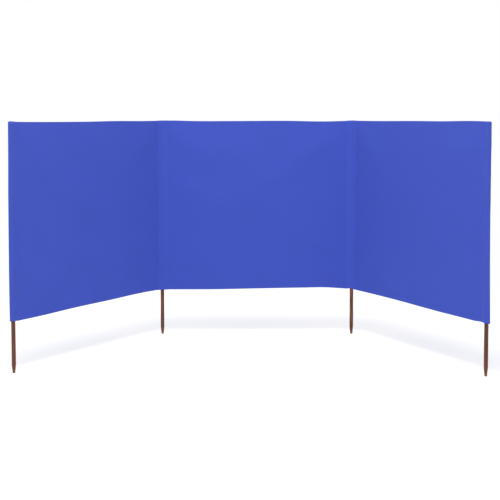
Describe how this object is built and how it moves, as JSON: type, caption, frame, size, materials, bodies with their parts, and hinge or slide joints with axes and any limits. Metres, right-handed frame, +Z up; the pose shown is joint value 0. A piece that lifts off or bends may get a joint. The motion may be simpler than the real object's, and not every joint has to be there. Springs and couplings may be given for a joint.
{
  "type": "beach windbreak",
  "caption": "Free-standing cloth windbreak in bays between wooden poles that are pushed into the sand, with hinged end bays.",
  "frame": {"origin": "middle of the flat end of the foot of pole 2, the left inner pole seen from the side that the end bays swing towards", "axes": "+Z up along the poles; +X along the middle bay from pole 2 to pole 3; the end bays swing forward, towards -Y"},
  "size_m": [2.8365, 1.1762, 1.503],
  "materials": {
    "pole_wood": "turned pine, stained brown, matt",
    "cloth": "plain woven polyester, royal blue, matt",
    "hem_cloth": "the same blue polyester turned over and stitched"
  },
  "bodies": {
    "middle_bay": {"pole_2": "pole_wood", "pole_3": "pole_wood", "sleeve_2": "cloth", "sleeve_3": "cloth", "sleeve_cap_2": "hem_cloth", "sleeve_cap_3": "hem_cloth", "panel_middle": "cloth", "top_hem_middle": "hem_cloth", "bottom_hem_middle": "hem_cloth"},
    "left_bay": {"pole_1": "pole_wood", "sleeve_1": "cloth", "sleeve_cap_1": "hem_cloth", "panel_left": "cloth", "top_hem_left": "hem_cloth", "bottom_hem_left": "hem_cloth"},
    "right_bay": {"pole_4": "pole_wood", "sleeve_4": "cloth", "sleeve_cap_4": "hem_cloth", "panel_right": "cloth", "top_hem_right": "hem_cloth", "bottom_hem_right": "hem_cloth"}
  },
  "joints": [
    {"name": "left_bay_swing", "type": "hinge", "parent": "middle_bay", "child": "left_bay", "pos_m": [0, 0, 0], "axis": [0, 0, 1], "range_deg": [-133.5, 112.5]},
    {"name": "right_bay_swing", "type": "hinge", "parent": "middle_bay", "child": "right_bay", "pos_m": [1.333, 0, 0], "axis": [0, 0, 1], "range_deg": [-20.7, 225.3]}
  ]
}
